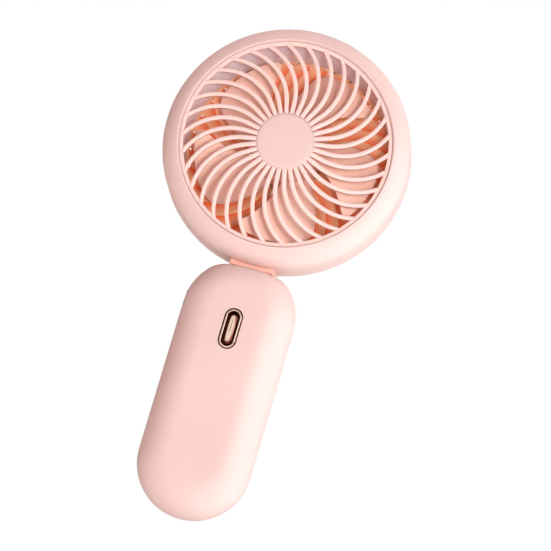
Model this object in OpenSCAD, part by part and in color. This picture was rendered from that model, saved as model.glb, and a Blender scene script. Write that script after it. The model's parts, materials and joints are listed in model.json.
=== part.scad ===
// Handheld electric fan: round head on a tilting neck, pill-shaped handle.
// Millimetres. The origin is the middle of the grip, +Z runs up the handle to the head,
// and the air leaves towards -Y.

/* [Head] */
// Outer diameter of the head
head_d = 100; // [98:1:102]
// Depth of the head between its flat front and back
head_t = 28; // [27:0.5:29]
// Rounding of the head's rim
head_edge_r = 9.5; // [9:0.25:10]
// Radius of the opening in the front and the back of the head
mouth_r = 43; // [42.5:0.25:43.5]

/* [Front grille] */
// Number of curved ribs
rib_n = 34; // [30:1:36]
// Width of one rib
rib_w = 1.75; // [1.5:0.05:1.9]
// Radius of the arc that each rib follows
rib_arc_r = 23; // [22:0.5:25]
// Where the grille's rim lies in front of the head's mid-plane
grille_rim_y = 12.4; // [12.2:0.1:12.6]
// How far the hub stands in front of the rim
grille_rise = 3.7; // [3.2:0.1:4.2]
// Radius of the flat hub cap
hub_cap_r = 11.6; // [11:0.1:12]

/* [Impeller] */
// Radius at the blade tips
tip_r = 37.5; // [34:0.5:38]
// Number of blades
blade_n = 5; // [4:1:5]
// Pitch of the blades
blade_pitch = 20; // [14:1:22]

/* [Handle] */
// Width of the handle
grip_w = 45.7; // [45:0.1:47]
// Height of the handle, from its round end to its flat top
grip_h = 104; // [102:1:108]
// Depth of the handle
grip_t = 26.55; // [26:0.05:27]
// Rounding of the handle's edges
grip_edge_r = 13; // [12.5:0.1:13]
// Gap between the handle's top and the head
neck_gap = 1.6; // [1.6:0.1:2]

/* [Button] */
// Height of the button above the middle of the grip
button_z = 24.4; // [24:0.1:25]
// Length of the button's bezel
bezel_l = 17.1; // [16.5:0.1:17.5]
// Width of the button's bezel
bezel_w = 7.5; // [7.3:0.1:7.8]
// Travel of the button
button_travel = 0.5; // [0.3:0.1:0.6]

/* [Hidden] */
$fn = 96;
e = 0.01;             // overshoot of a cutting tool
wall = 2;             // wall of the four shells
fit_gap = 0.3;        // gap between a part and the opening it sits in

head_r = head_d / 2;
head_y = head_t / 2;
grip_top = grip_h / 2;
head_z = grip_top + neck_gap + head_r;
head_seam_y = 7;      // where the head's two shells meet
collar_t = 1.4;       // wall of the air duct inside the head
collar_r = mouth_r + collar_t;
collar_y = head_y - 1.5;   // where the duct starts in front and ends behind
skin_r = head_r - wall;
ledge_w = 1.4;        // width and thickness of the ledges that carry the grilles
boss_meet_y = 5;      // where the bosses of the head's two shells meet
tongue_gap_a = 19;    // half the angle that the rear shell's tongue leaves free at the neck
ring_w = 1.6;         // width of the front grille's rim
grille_r = mouth_r - fit_gap;
grille_t = 2.2;       // depth of the front grille's ribs
dome_r = (grille_r * grille_r + grille_rise * grille_rise) / (2 * grille_rise);
hub_front_y = -grille_rim_y - grille_rise;
hub_back_y = hub_front_y + 2.8;
ledge_y = -grille_rim_y + grille_t + 0.2;

screw_ring_r = (collar_r + skin_r) / 2;
screw_angles = [45, 135, 225, 315];
boss_r = 2.2;
pilot_r = 0.8;        // thread of the larger screws
small_pilot_r = 0.7;  // thread of the smaller screws
head_screw_end_y = 10.6;

rear_plate_y = 11.5;  // front face of the rear grille
rear_plate_t = 2;
rear_rib_w = 2.2;     // width of the rear grille's ribs, which curve the other way
rib_bend_r = 17;      // radius at which a rib starts to curve
motor_seat_r = 14;

shaft_r = 1;
bearing_r = 3;
tube_r = 4;
core_r = 9.6;
magnet_r = 10;
can_r = 12;
can_t = 0.8;
hub_r = 13.3;
rotor_back_y = 8.6;
can_front_y = -3.4;
hub_face_y = -5;
tooth_n = 9;

hinge_y = 9.6;
hinge_z = grip_top + 0.6;
knuckle_r = 2.8;
knuckle_gap_r = 3.2;
pin_r = 1;
centre_half = 4;      // half the width of the middle knuckle
outer_half = 9.2;     // half the width of all three knuckles
washer_t = 0.3;
cap_t = 0.7;
ear_x = 11.3;         // screws that hold the bracket inside the head
ear_z = 58.8;
base_screw_x = 5.5;   // screws that hold the saddle on the hinge's base
base_screw_y = -2;
base_screw_z = 51;    // seat of their heads
lead_half = 2.2;      // half the width of the slots that the fan's leads run through
saddle_half = 8.8;
saddle_front_y = -5;

grip_hw = grip_w / 2;
grip_y = grip_t / 2;
grip_seam_y = 4;
top_cut = 3.7;        // how much of the round upper end is cut off flat
end_lo_z = -grip_top + grip_hw;
end_hi_z = grip_top + top_cut - grip_hw;
screw_spots = [[-14.5, 43], [14.5, 43], [-15.5, -30], [15.5, -30]];
grip_boss_r = 2.5;
grip_screw_end_y = 9.2;

cell_r = 9.15;
cell_l = 65;
cell_z = -45.3;
board_y = -5.2;       // front face of the main board
board_t = 1.2;
board_back_y = board_y + board_t;
board_lo_z = 20.8;
board_hi_z = 44;
board_screw_x = 8;
board_screw_z = 41;
usb_z = 33;
usb_w = 8.94;
usb_h = 3.26;
usb_depth = 7.35;
usb_x = -22.2;        // mouth of the USB-C socket
cap_l = 14;
cap_w = 4.5;
bezel_proud = 0.6;
switch_top_y = -7.2;

// ---------- shared shapes ----------

// Turns an (r, y) profile about the Y axis.
module about_y(turn = 360) {
    rotate([-90, 0, 0]) rotate_extrude(angle = turn) children();
}

// Extrudes a drawing in the XZ plane from y0 to y1.
module in_xz(y0, y1) {
    translate([0, y1, 0]) rotate([90, 0, 0]) linear_extrude(y1 - y0) children();
}

// A cylinder along Y, from y0 to y1.
module rod_y(r, y0, y1) {
    translate([0, y0, 0]) rotate([-90, 0, 0]) cylinder(r = r, h = y1 - y0);
}

// A cylinder along X at the hinge's axis, from x0 to x1.
module hinge_rod(r, x0, x1) {
    translate([x0, hinge_y, hinge_z]) rotate([0, 90, 0]) cylinder(r = r, h = x1 - x0);
}

// A pill-shaped outline standing along the second axis.
module pill(w, l) {
    square([w, l - w], center = true);
    for (s = [-1, 1]) translate([0, s * (l - w) / 2]) circle(d = w);
}

// A rectangle from corner a to corner b.
module block2(a, b) {
    translate(a) square(b - a);
}

// A box from corner a to corner b.
module block3(a, b) {
    translate(a) cube(b - a);
}

// Half section of a slab with rounded edges: radius r, half depth y, rounding c.
module round_slab(r, y, c) {
    block2([0, -y], [r - c, y]);
    block2([0, c - y], [r, y - c]);
    for (s = [-1, 1]) intersection() {
        translate([r - c, s * (y - c)]) circle(r = c);
        block2([0, -y - 1], [r + 1, y + 1]);
    }
}

// Half section of the head, grown by o.
module head_profile(o = 0) {
    round_slab(head_r + o, head_y + o, head_edge_r + o);
}

// Places its children at the head's centre.
module at_head() {
    translate([0, 0, head_z]) children();
}

// The handle's outer form, grown by o.
module grip_form(o = 0) {
    hw = grip_hw + o;
    c = grip_edge_r + o;
    y = grip_y + o;
    intersection() {
        union() {
            translate([0, 0, end_lo_z]) about_y(180) round_slab(hw, y, c);
            translate([0, 0, end_hi_z]) rotate([0, 180, 0]) about_y(180) round_slab(hw, y, c);
            translate([0, 0, end_lo_z]) linear_extrude(end_hi_z - end_lo_z) {
                round_slab(hw, y, c);
                mirror([1, 0]) round_slab(hw, y, c);
            }
        }
        block3([-grip_w, -grip_t, -grip_h], [grip_w, grip_t, grip_top + o]);
    }
}

// A pan-head screw along Y: its head ends at y1, its tip is at y0.
module screw_y(y0, y1, shank, head, head_h) {
    rod_y(shank, y0, y1 - head_h + e);
    difference() {
        rod_y(head, y1 - head_h, y1);
        in_xz(y1 - head_h / 2, y1 + e) {
            square([head * 1.2, head * 0.3], center = true);
            square([head * 0.3, head * 1.2], center = true);
        }
    }
}

// ---------- flexible leads ----------

function unit3(v) = v / norm(v);
function lead_dir(p, i) =
    unit3(p[min(i + 1, len(p) - 1)] - p[max(i - 1, 0)]);
function lead_side(d) = unit3(cross(d, abs(d[0]) > 0.9 ? [0, 0, 1] : [1, 0, 0]));
function lead_ring(c, d, r, n) =
    let (u = lead_side(d), v = cross(d, u))
    [for (k = [0:n - 1]) c + r * (cos(360 * k / n) * u + sin(360 * k / n) * v)];

// A tube of radius r swept through the points p.
module lead(p, r = 0.55, n = 8) {
    m = len(p);
    pts = [for (i = [0:m - 1]) each lead_ring(p[i], lead_dir(p, i), r, n)];
    sides = [for (i = [0:m - 2]) for (k = [0:n - 1])
        [i * n + k, (i + 1) * n + k, (i + 1) * n + (k + 1) % n, i * n + (k + 1) % n]];
    ends = [[for (k = [0:n - 1]) k], [for (k = [n - 1:-1:0]) (m - 1) * n + k]];
    polyhedron(points = pts, faces = concat(sides, ends), convexity = 4);
}

// ---------- head ----------

// Space in the head for the hinge's knuckles, the middle web and the motor's leads.
module head_hinge_space() {
    hinge_rod(knuckle_gap_r, -outer_half - cap_t - fit_gap, outer_half + cap_t + fit_gap);
    block3([-centre_half - fit_gap, 5, grip_top], [centre_half + fit_gap, 13, head_z - collar_r - 0.8]);
    block3([-lead_half, 3.2, grip_top], [lead_half, 6.1, head_z - mouth_r + 0.6]);
}

// Places its children at each screw that closes the head.
module at_head_screws() {
    for (a = screw_angles) rotate([0, -a, 0]) translate([screw_ring_r, 0, 0]) children();
}

// Places its children at the two screws of the neck's bracket.
module at_ears() {
    for (s = [-1, 1]) translate([s * ear_x, 0, ear_z]) children();
}

// Tongue that centres the rear shell in the front one, left out behind the neck.
module head_tongue() {
    rotate([0, 90 + tongue_gap_a, 0]) about_y(360 - 2 * tongue_gap_a)
        block2([skin_r - 1.9, boss_meet_y], [skin_r - 0.55, head_seam_y + 1.5]);
}

module head_front_shell() color("#f5d6d0") difference() {
    at_head() difference() {
        union() {
            about_y() difference() {
                union() {
                    difference() {
                        head_profile(0);
                        head_profile(-wall);
                    }
                    block2([mouth_r, -collar_y], [collar_r, head_seam_y - 1]);
                    block2([mouth_r - ledge_w, ledge_y], [collar_r, ledge_y + ledge_w]);
                }
                block2([-e, -head_y - 1], [mouth_r, ledge_y]);
                block2([-e, head_seam_y], [head_d, head_y + 1]);
            }
            intersection() {
                at_head_screws() rod_y(boss_r, -4, boss_meet_y - 0.2);
                about_y() block2([mouth_r + 0.5, -6], [head_r - 0.5, 6]);
            }
            translate([0, 0, -head_z]) at_ears() rod_y(1.9, -4, 4.4);
        }
        at_head_screws() rod_y(pilot_r, -2, boss_meet_y);
        translate([0, 0, -head_z]) at_ears() rod_y(small_pilot_r, -1, boss_meet_y);
    }
    head_hinge_space();
}

module head_rear_shell() color("#f3d0c8") difference() {
    at_head() difference() {
        union() {
            about_y() difference() {
                union() {
                    difference() {
                        head_profile(0);
                        head_profile(-wall);
                    }
                    block2([mouth_r, head_seam_y - 0.8], [collar_r, collar_y]);
                }
                block2([-e, 0], [mouth_r, head_y + 1]);
                block2([-e, -head_y - 1], [collar_r + e, head_seam_y - 0.8]);
                block2([collar_r, -head_y - 1], [head_d, head_seam_y]);
            }
            head_tongue();
            intersection() {
                at_head_screws() rod_y(boss_r, boss_meet_y + 0.2, 12);
                about_y() intersection() {
                    head_profile(-0.6);
                    block2([mouth_r + 0.5, 0], [skin_r - 0.7, head_y]);
                }
            }
            about_y() block2([mouth_r - ledge_w, rear_plate_y - 1.6], [mouth_r + e, rear_plate_y - 0.2]);
        }
        at_head_screws() {
            rod_y(1, boss_meet_y - 1, 12);
            rod_y(1.7, head_screw_end_y - 1.2, 16);
        }
    }
    head_hinge_space();
}

// One rib of width w: straight from radius r, then an arc that turns with the pattern.
module rib_outline(w, r) {
    block2([r, -w / 2], [rib_bend_r, w / 2]);
    intersection() {
        translate([rib_bend_r, rib_arc_r]) difference() {
            circle(r = rib_arc_r + w / 2);
            circle(r = rib_arc_r - w / 2);
        }
        block2([rib_bend_r, -w], [rib_bend_r + rib_arc_r + w, rib_arc_r]);
    }
}

// Front face of the domed grille at radius r.
function dome_y(r) = hub_front_y + dome_r - sqrt(dome_r * dome_r - r * r);

// The domed sheet that the ribs are cut from, in two conical bands.
module grille_dome() {
    radii = [hub_cap_r - 1, (hub_cap_r + grille_r) / 2, grille_r - ring_w / 2];
    about_y() polygon(concat(
        [for (r = radii) [r, dome_y(r)]],
        [for (k = [2:-1:0]) [radii[k], dome_y(radii[k]) + grille_t]]));
}

module front_grille() color("#fae4de") at_head() {
    intersection() {
        grille_dome();
        in_xz(hub_front_y - 1, 0) intersection() {
            for (k = [0:rib_n - 1]) rotate(8.87 + 360 * k / rib_n) rib_outline(rib_w, hub_cap_r - 1);
            difference() {
                circle(r = grille_r - ring_w / 2);
                circle(r = hub_cap_r - 0.2);
            }
        }
    }
    about_y() block2([grille_r - ring_w, -grille_rim_y], [grille_r, ledge_y - 0.2]);
    about_y() block2([hub_cap_r - 0.3, hub_front_y + 0.4], [hub_cap_r + 0.3, hub_back_y]);
    rod_y(hub_cap_r, hub_front_y + 1.6, hub_back_y);
}

module grille_hub_cap() color("#f4d0c8") at_head() {
    about_y() {
        block2([0, hub_front_y], [hub_cap_r - 0.8, hub_front_y + 1.6]);
        block2([0, hub_front_y + 0.4], [hub_cap_r - 0.4, hub_front_y + 1.6]);
    }
}

module rear_grille() color("#f0b8a4") at_head() difference() {
    union() {
        in_xz(rear_plate_y, rear_plate_y + rear_plate_t) {
            intersection() {
                for (k = [0:rib_n - 1]) rotate(360 * k / rib_n) mirror([0, 1])
                    rib_outline(rear_rib_w, motor_seat_r - 1);
                circle(r = mouth_r - 1);
            }
            difference() {
                circle(r = mouth_r - fit_gap);
                circle(r = mouth_r - 2.4);
            }
            circle(r = motor_seat_r);
        }
        rod_y(6, rear_plate_y - 2, rear_plate_y + e);
    }
    rod_y(tube_r, rear_plate_y - 3, rear_plate_y + 0.8);
}

module head_screws() color("#8c8c90") at_head() at_head_screws()
    screw_y(-1, head_screw_end_y, pilot_r, 1.5, 1.2);

module neck_bracket() color("#b8bcc2") difference() {
    union() {
        block3([-9, -4, 56.7], [9, 6.2, 58.4]);
        for (s = [0, 1]) mirror([s, 0, 0]) block3([8.5, 4.5, 57.9], [13.1, 5.9, 59.6]);
        hinge_rod(knuckle_r, -centre_half, centre_half);
        translate([-centre_half, 0, 0]) rotate([90, 0, 90]) linear_extrude(2 * centre_half)
            polygon([[5.5, 58.4], [8, 58.4], [8.6, 57], [11.4, 54.6], [hinge_y, hinge_z],
                     [7, 53.5], [5.5, 56.6]]);
    }
    hinge_rod(pin_r + 0.05, -centre_half - 1, centre_half + 1);
    at_ears() rod_y(small_pilot_r, 4, 7);
    block3([-1.8, 3, 56], [1.8, 5.3, 59]);
}

module bracket_screws() color("#8c8c90") at_ears() screw_y(0, 6.9, small_pilot_r, 1.3, 1);

// ---------- motor ----------

module bearing_tube() color("#c8a050") at_head() difference() {
    rod_y(tube_r, -1.2, rear_plate_y + 0.8);
    rod_y(bearing_r, -2, 1.4);
    rod_y(2.3, 1, 9);
    rod_y(bearing_r, 7.8, rear_plate_y + 1);
}

module ball_bearing(y0) {
    at_head() difference() {
        rod_y(bearing_r, y0, y0 + 2.4);
        rod_y(shaft_r + 0.03, y0 - 1, y0 + 4);
        for (y = [y0, y0 + 2.4]) translate([0, y, 0]) rotate([90, 0, 0]) rotate_extrude()
            block2([1.6, -0.2], [2.4, 0.2]);
    }
}

module front_bearing() color("#c4c8cc") ball_bearing(-1);
module rear_bearing() color("#c4c8cc") ball_bearing(7.8);

module stator_core() color("#70747a") at_head() in_xz(1.5, 6.5) difference() {
    union() {
        circle(r = 5.6);
        for (k = [0:tooth_n - 1]) rotate(360 * k / tooth_n) block2([5, -0.8], [9, 0.8]);
        difference() {
            circle(r = core_r);
            circle(r = core_r - 1);
            for (k = [0:tooth_n - 1]) rotate(360 * (k + 0.5) / tooth_n) block2([5, -0.7], [11, 0.7]);
        }
    }
    circle(r = tube_r);
}

module stator_coils() color("#b86a3c") at_head() for (k = [0:tooth_n - 1])
    rotate([0, -360 * k / tooth_n, 0]) difference() {
        block3([6, 0, -1.5], [8.4, 8, 1.5]);
        block3([5, 1.5, -0.8], [9, 6.5, 0.8]);
    }

module motor_board() color("#3f7d4f") at_head() difference() {
    rod_y(10.8, 8.9, 9.5);
    rod_y(tube_r, 8, 11);
}

module motor_leads() color("#c83c30") for (s = [-1, 1]) lead([
    [s, 4.3, 53.4], [s, 4.3, 55.4], [s, 4.3, 58], [s, 4.6, 60.5], [s, 6.5, 63],
    [s, 9.6, 65.5], [s, 10.7, 69], [s, 10.7, 80], [s, 10.7, 92.5], [s, 10.1, 94.2]]);

module impeller() color("#f0a890") at_head() {
    difference() {
        union() {
            rod_y(hub_r, hub_face_y, rotor_back_y);
            for (k = [0:blade_n - 1]) rotate([0, -360 * k / blade_n, 0]) blade();
        }
        rod_y(can_r, can_front_y, rotor_back_y + 1);
        rod_y(shaft_r, hub_face_y + 0.6, 0);
    }
}

// One sickle-shaped blade: an outline between two arcs, cut from a tilted plate.
module blade() {
    sweep = 13;
    half_width = 25;
    inner = [(hub_r - 0.5) * cos(sweep), (hub_r - 0.5) * sin(sweep)];
    outer = [tip_r * cos(sweep), -tip_r * sin(sweep)];
    lean = atan2(outer[1] - inner[1], outer[0] - inner[0]);
    intersection() {
        in_xz(-7, 9) intersection() {
            difference() {
                circle(r = tip_r);
                circle(r = hub_r - 0.5);
            }
            difference() {
                rotate(half_width - 64) translate([30, 0]) circle(r = 30);
                rotate(-half_width - 64) translate([30, 0]) circle(r = 30);
            }
        }
        translate([inner[0], 1.4, inner[1]]) rotate([0, -lean, 0]) rotate([blade_pitch, 0, 0])
            block3([-20, -0.7, -40], [60, 0.7, 40]);
    }
}

module rotor_can() color("#9a9ea4") at_head() difference() {
    rod_y(can_r, can_front_y, rotor_back_y);
    rod_y(can_r - can_t, can_front_y + 1, rotor_back_y + 1);
    rod_y(shaft_r, can_front_y - 1, can_front_y + 2);
}

module magnet_ring() color("#4a4a50") at_head() difference() {
    rod_y(can_r - can_t, 0, 8);
    rod_y(magnet_r, -1, 9);
}

module motor_shaft() color("#d8dade") at_head() difference() {
    rod_y(shaft_r, hub_face_y + 0.6, 11.2);
    translate([0, 10.5, 0]) rotate([-90, 0, 0]) difference() {
        cylinder(r = 2, h = 0.4);
        cylinder(r = 0.7, h = 0.4);
    }
}

module shaft_clip() color("#a0a4a8") at_head() difference() {
    rod_y(2, 10.5, 10.9);
    rod_y(0.7, 10, 12);
}

// ---------- handle ----------

// Space in the handle for the hinge's knuckles and the two outer webs.
module grip_hinge_space() {
    hinge_rod(knuckle_gap_r, -outer_half - cap_t - fit_gap, outer_half + cap_t + fit_gap);
    for (s = [0, 1]) mirror([s, 0, 0])
        block3([centre_half, 4.8, 46], [outer_half + fit_gap, 13, hinge_z]);
    block3([-lead_half, 3, 49], [lead_half, 5.3, 53]);
}

// Places its children at each screw that closes the handle.
module at_grip_screws() {
    for (p = screw_spots) translate([p[0], 0, p[1]]) children();
}

// Places its children at the two screws of the main board.
module at_board_screws() {
    for (s = [-1, 1]) translate([s * board_screw_x, 0, board_screw_z]) children();
}

// Places its children at the two screws under the saddle.
module at_base_screws() {
    for (s = [-1, 1]) translate([s * base_screw_x, base_screw_y, 0]) children();
}

// The opening for the USB-C socket in the handle's side.
module usb_opening(grow) {
    translate([-grip_w, board_back_y + usb_h / 2, usb_z]) rotate([0, 90, 0])
        linear_extrude(grip_w - 10) pill_usb(grow);
}

module pill_usb(grow) {
    rotate(90) pill(usb_h + 2 * grow, usb_w + 2 * grow);
}

module handle_front_shell() color("#f5d6d0") difference() {
    union() {
        intersection() {
            difference() {
                grip_form(0);
                grip_form(-wall);
            }
            block3([-grip_w, -grip_t, -grip_h], [grip_w, grip_seam_y, grip_h]);
        }
        intersection() {
            at_grip_screws() rod_y(grip_boss_r, -12, grip_seam_y);
            grip_form(-1);
        }
        at_board_screws() rod_y(1.8, -11.8, board_y);
    }
    at_grip_screws() rod_y(pilot_r, -3, grip_seam_y + 1);
    at_board_screws() rod_y(small_pilot_r, -9, board_y + 1);
    translate([0, 0, button_z]) in_xz(-grip_t, -8) pill(bezel_w - 1.2, bezel_l - 1.2);
    at_base_screws() {
        translate([0, 0, base_screw_z - 2]) cylinder(r = 0.9, h = 4);
        translate([0, 0, base_screw_z]) cylinder(r = 1.7, h = 2);
    }
    usb_opening(0.15);
    grip_hinge_space();
}

module handle_rear_shell() color("#f3d0c8") difference() {
    union() {
        intersection() {
            difference() {
                grip_form(0);
                grip_form(-wall);
            }
            block3([-grip_w, grip_seam_y, -grip_h], [grip_w, grip_t, grip_h]);
        }
        intersection() {
            at_grip_screws() rod_y(grip_boss_r, grip_seam_y, 12);
            grip_form(-1);
        }
    }
    at_grip_screws() {
        rod_y(1, 0, 16);
        rod_y(1.8, grip_screw_end_y - 1.2, 16);
    }
    grip_hinge_space();
}

module handle_screws() color("#8c8c90") at_grip_screws()
    screw_y(-2, grip_screw_end_y, pilot_r, 1.6, 1.2);

module neck_saddle() color("#f0a890") difference() {
    block3([-saddle_half, saddle_front_y, grip_top], [saddle_half, 5.6, grip_top + 3]);
    at_head() about_y($fn = 400) head_profile(0.15);
    block3([-lead_half, 3, 49], [lead_half, 6, 56]);
    at_base_screws() translate([0, 0, grip_top - 1]) cylinder(r = 1.8, h = 1.2);
}

module hinge_base() color("#b8bcc2") difference() {
    union() {
        block3([-9.2, -5, 47.6], [9.2, 5.8, 49.6]);
        for (s = [0, 1]) mirror([s, 0, 0]) {
            hinge_rod(knuckle_r, centre_half + washer_t, outer_half);
            translate([centre_half + washer_t, 0, 0]) rotate([90, 0, 90])
                linear_extrude(outer_half - centre_half - washer_t)
                polygon([[5.2, 47.6], [8.4, 47.6], [11.9, 51.2], [hinge_y, hinge_z],
                         [7.2, 51.3], [5.2, 49.6]]);
        }
    }
    hinge_rod(pin_r, -outer_half - 1, outer_half + 1);
    at_base_screws() translate([0, 0, base_screw_z - 4]) cylinder(r = pilot_r, h = 3);
    block3([-lead_half, 3, 47], [lead_half, 5.3, 50]);
}

module hinge_screws() color("#8c8c90") at_base_screws() translate([0, 0, base_screw_z]) {
    translate([0, 0, -4.5]) cylinder(r = pilot_r, h = 4.6);
    difference() {
        cylinder(r = 1.5, h = 0.9);
        for (a = [0, 90]) rotate(a) translate([0, 0, 0.8]) cube([1.8, 0.5, 0.9], center = true);
    }
}

module hinge_pin() color("#d8dade") hinge_rod(pin_r, -outer_half, outer_half);

module hinge_washers() color("#c8a050") for (s = [0, 1]) mirror([s, 0, 0]) difference() {
    hinge_rod(2.4, centre_half + 0.02, centre_half + washer_t);
    hinge_rod(pin_r, centre_half - 1, centre_half + 1);
}

module hinge_caps() color("#fdf2ea") for (s = [0, 1]) mirror([s, 0, 0])
    hinge_rod(knuckle_r - 0.2, outer_half, outer_half + cap_t);

// ---------- battery and electronics ----------

module battery_cell() color("#5b8fc4") translate([0, 0, cell_z]) {
    cylinder(r = cell_r, h = cell_l - 1.2);
    cylinder(r = 3.2, h = cell_l);
}

module battery_pad() color("#3c3c40") block3([-6, cell_r + 0.05, -34], [6, grip_y - wall, 8]);

module battery_leads() color("#303034") {
    lead([[1.6, 0, 20], [3.6, 0.6, 20.4], [6, 1.6, 22], [7.2, 0.6, 25], [7.2, -2, 27], [7.2, -3.4, 28.6]]);
    lead([[1, 1, -45.9], [8, 2, -46], [11, 2.4, -42.5], [11.4, 2, -30], [11.4, 1.6, 0],
          [11.2, 1, 22], [10.4, -1, 27], [9.6, -3.4, 29.6]]);
}

module board_outline() {
    block2([-11, board_lo_z], [11, board_hi_z]);
    block2([-18.5, usb_z - 6], [-10, usb_z + 6]);
}

module main_board() color("#3f7d4f") difference() {
    in_xz(board_y, board_y + board_t) board_outline();
    at_board_screws() rod_y(0.8, board_y - 1, 0);
}

module board_screws() color("#8c8c90") at_board_screws()
    screw_y(-8, board_back_y + 1, small_pilot_r, 1.4, 1);

module control_chip() color("#2c2c30") block3([-3, board_back_y, 34], [3, board_back_y + 1.6, 38]);

module board_capacitors() color("#a08060") for (p = [[-8, 26], [-5, 26], [4, 31], [7, 34]])
    block3([p[0] - 0.8, board_back_y, p[1] - 1.2], [p[0] + 0.8, board_back_y + 1.1, p[1] + 1.2]);

module tact_switch() color("#3a3a3e") difference() {
    block3([-3, switch_top_y, button_z - 3], [3, board_y, button_z + 3]);
    translate([0, 0, button_z]) rod_y(1.6, -8, -5.7);
}

module usb_shell() color("#c4c8cc") translate([0, board_back_y + usb_h / 2, usb_z]) rotate([0, 90, 0]) {
    translate([0, 0, usb_x]) linear_extrude(usb_depth) difference() {
        pill_usb(0);
        pill_usb(-0.3);
    }
    translate([0, 0, usb_x + usb_depth - 0.8]) linear_extrude(0.8) pill_usb(-0.1);
}

module usb_tongue() color("#2c2c30") {
    block3([usb_x + 1, board_back_y + usb_h / 2 - 0.35, usb_z - 3.3],
           [usb_x + usb_depth - 0.8, board_back_y + usb_h / 2 + 0.35, usb_z + 3.3]);
}

module button_bezel() color("#d8a090") translate([0, 0, button_z]) difference() {
    union() {
        in_xz(-grip_y - bezel_proud, -grip_y) pill(bezel_w, bezel_l);
        in_xz(-grip_y, -grip_y + wall) pill(bezel_w - 1.3, bezel_l - 1.3);
    }
    in_xz(-grip_t, -8) pill(cap_w + 0.4, cap_l + 0.4);
}

module power_button() color("#e8b4a4") translate([0, 0, button_z]) {
    in_xz(-grip_y - 0.3, -grip_y + wall + 0.1) pill(cap_w, cap_l);
    in_xz(-grip_y + wall + 0.1, -grip_y + wall + 0.9) pill(cap_w + 1.4, cap_l + 1.4);
    rod_y(1.4, -grip_y + wall + 0.5, -7.7);
}

module switch_plunger() color("#e8e0d8") translate([0, 0, button_z]) rod_y(1.5, -7.7, -6.3);

module fan_leads() color("#c83c30") for (s = [-1, 1]) lead([
    [s, -3.4, 40], [s, -1, 41.5], [s, 2.4, 43.5], [s, 4.2, 46], [s, 4.3, 49], [s, 4.3, 53]]);

head_front_shell();
head_rear_shell();
front_grille();
grille_hub_cap();
rear_grille();
head_screws();
neck_bracket();
bracket_screws();
bearing_tube();
front_bearing();
rear_bearing();
stator_core();
stator_coils();
motor_board();
motor_leads();
impeller();
rotor_can();
magnet_ring();
motor_shaft();
shaft_clip();
handle_front_shell();
handle_rear_shell();
handle_screws();
neck_saddle();
hinge_base();
hinge_screws();
hinge_pin();
hinge_washers();
hinge_caps();
battery_cell();
battery_pad();
battery_leads();
main_board();
board_screws();
control_chip();
board_capacitors();
tact_switch();
usb_shell();
usb_tongue();
button_bezel();
fan_leads();
power_button();
switch_plunger();
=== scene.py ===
"""The looks of a handheld electric fan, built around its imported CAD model.

The big moulded parts are rebuilt as fine meshes in the CAD model's own places. The small ones keep
their CAD shape, with softened edges where they can be seen. Every part gets a procedural material.
Lengths in the constants are millimetres. The object stands in metres, +Z up, its front towards -Y.
"""
import json
import math

import bmesh
import bpy
import numpy as np
from mathutils import Matrix, Vector

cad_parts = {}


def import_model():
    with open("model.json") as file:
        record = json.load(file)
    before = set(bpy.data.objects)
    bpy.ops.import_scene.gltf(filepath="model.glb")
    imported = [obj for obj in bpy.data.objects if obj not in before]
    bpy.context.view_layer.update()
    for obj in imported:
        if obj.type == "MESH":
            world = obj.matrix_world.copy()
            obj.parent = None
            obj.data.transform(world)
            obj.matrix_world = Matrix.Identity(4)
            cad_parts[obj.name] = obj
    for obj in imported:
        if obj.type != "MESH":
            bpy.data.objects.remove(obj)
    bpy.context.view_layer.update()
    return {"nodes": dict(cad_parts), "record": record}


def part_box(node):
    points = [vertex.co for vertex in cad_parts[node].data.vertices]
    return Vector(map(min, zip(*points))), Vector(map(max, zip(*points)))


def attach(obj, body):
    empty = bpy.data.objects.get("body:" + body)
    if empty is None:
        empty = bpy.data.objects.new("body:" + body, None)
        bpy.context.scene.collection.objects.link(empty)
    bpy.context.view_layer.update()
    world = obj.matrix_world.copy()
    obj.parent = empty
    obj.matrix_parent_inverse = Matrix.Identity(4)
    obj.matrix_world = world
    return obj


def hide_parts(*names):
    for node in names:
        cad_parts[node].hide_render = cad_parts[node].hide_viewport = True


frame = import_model()
MM = 0.001

# ---------- sizes read from the frame ----------

def box_of(node):
    """The low and high corners of a node's box, in millimetres."""
    return [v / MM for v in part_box(node)]


HEAD_LO, HEAD_HI = box_of("head_front_shell")
HEAD_Z = (HEAD_LO.z + HEAD_HI.z) / 2
HEAD_R = (HEAD_HI.x - HEAD_LO.x) / 2
HEAD_SEAM = HEAD_HI.y
GRIP_LO, GRIP_HI = box_of("handle_front_shell")
GRIP_HALF_W = (GRIP_HI.x - GRIP_LO.x) / 2
GRIP_TOP = GRIP_HI.z
GRIP_BOTTOM = GRIP_LO.z
GRIP_HALF_T = -GRIP_LO.y
GRIP_SEAM = GRIP_HI.y
PIN_LO, PIN_HI = box_of("hinge_pin")
HINGE_Y = (PIN_LO.y + PIN_HI.y) / 2
HINGE_Z = (PIN_LO.z + PIN_HI.z) / 2
BUTTON_LO, BUTTON_HI = box_of("button_bezel")
BUTTON_Z = (BUTTON_LO.z + BUTTON_HI.z) / 2
CAP_FRONT = box_of("grille_hub_cap")[0].y
REAR_LO, REAR_HI = box_of("rear_grille")
IMPELLER_HI = box_of("impeller")[1]
TIP_R = IMPELLER_HI.x

# ---------- sizes of the design that a box doesn't give ----------

WALL = 2.0                   # thickness of the casings

HEAD_HALF_T = 14.0
HEAD_EDGE_R = 9.5            # rounding of the head's rim
MOUTH_R = 43.0
LIP_R = 0.5                  # rounding of the mouth's lip
COLLAR_R = 44.4              # outside of the air duct's wall
DUCT_DRAFT = 1.3             # how much narrower the air duct is at the back than at the mouth
LEDGE_Y = -10.0              # where the front grille rests on the casing
LEDGE_WIDTH = 1.4
HEAD_SCREW_R = 46.2
HEAD_SCREW_ANGLES = (45, 135, 225, 315)

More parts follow.
